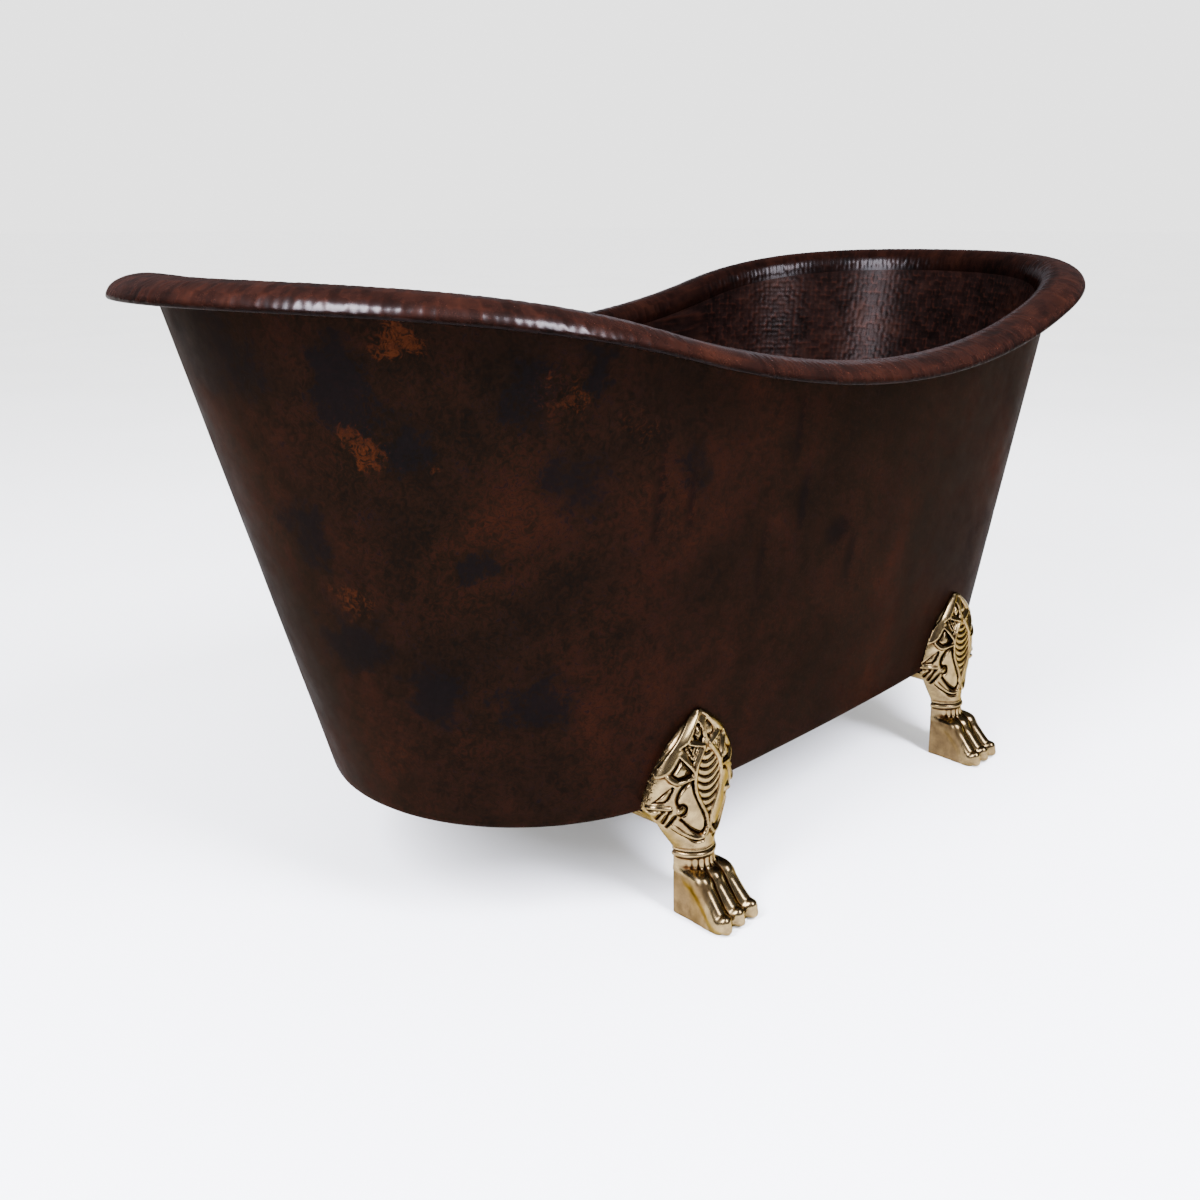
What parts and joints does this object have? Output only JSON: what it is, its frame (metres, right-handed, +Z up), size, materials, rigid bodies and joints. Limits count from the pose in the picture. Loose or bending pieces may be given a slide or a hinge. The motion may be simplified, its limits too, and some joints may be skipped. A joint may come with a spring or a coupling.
{
  "type": "freestanding slipper bathtub",
  "caption": "Oval double-walled copper slipper bathtub with raised ends, a rolled hammered rim, cast brass claw feet and a lifting drain stopper.",
  "frame": {"origin": "floor level under the middle of the tub, on the drain's axis", "axes": "+X along the tub's length, +Y across it away from the pictured side, +Z up"},
  "size_m": [1.676, 0.874, 0.834],
  "materials": {
    "patina_copper": "satin dark copper patina",
    "hammered_copper": "hammered, waxed dark copper",
    "cast_brass": "polished cast brass with dark recesses",
    "turned_brass": "turned, aged",
    "rubber_seal": "moulded",
    "steel": "plain stainless"
  },
  "bodies": {
    "tub": {"outer_wall_left": "patina_copper", "outer_wall_right": "patina_copper", "basin_wall_left": "hammered_copper", "basin_wall_right": "hammered_copper", "lower_floor": "patina_copper", "basin_floor": "hammered_copper", "rim_left": "hammered_copper", "rim_right": "hammered_copper", "floor_bearer_1": "steel", "floor_bearer_2": "steel", "floor_bearer_3": "steel", "floor_bearer_4": "steel", "drain_body": "turned_brass", "drain_flange_seal": "rubber_seal", "drain_spacer_sleeve": "turned_brass", "drain_lower_seal": "rubber_seal", "drain_washer": "turned_brass", "drain_locknut": "turned_brass", "drain_tailpiece": "turned_brass", "claw_foot_front_left": "cast_brass", "claw_foot_front_right": "cast_brass", "claw_foot_rear_left": "cast_brass", "claw_foot_rear_right": "cast_brass", "foot_bolts": "steel", "foot_bolt_washers": "steel", "foot_bolt_nuts": "steel", "foot_plates": "steel"},
    "stopper": {"stopper_cap": "turned_brass", "stopper_seal": "rubber_seal", "stopper_stem": "steel", "stopper_clip": "steel"}
  },
  "joints": [
    {"name": "stopper_lift", "type": "slide", "parent": "tub", "child": "stopper", "axis": [0, 0, 1], "range_m": [0, 0.01]}
  ]
}
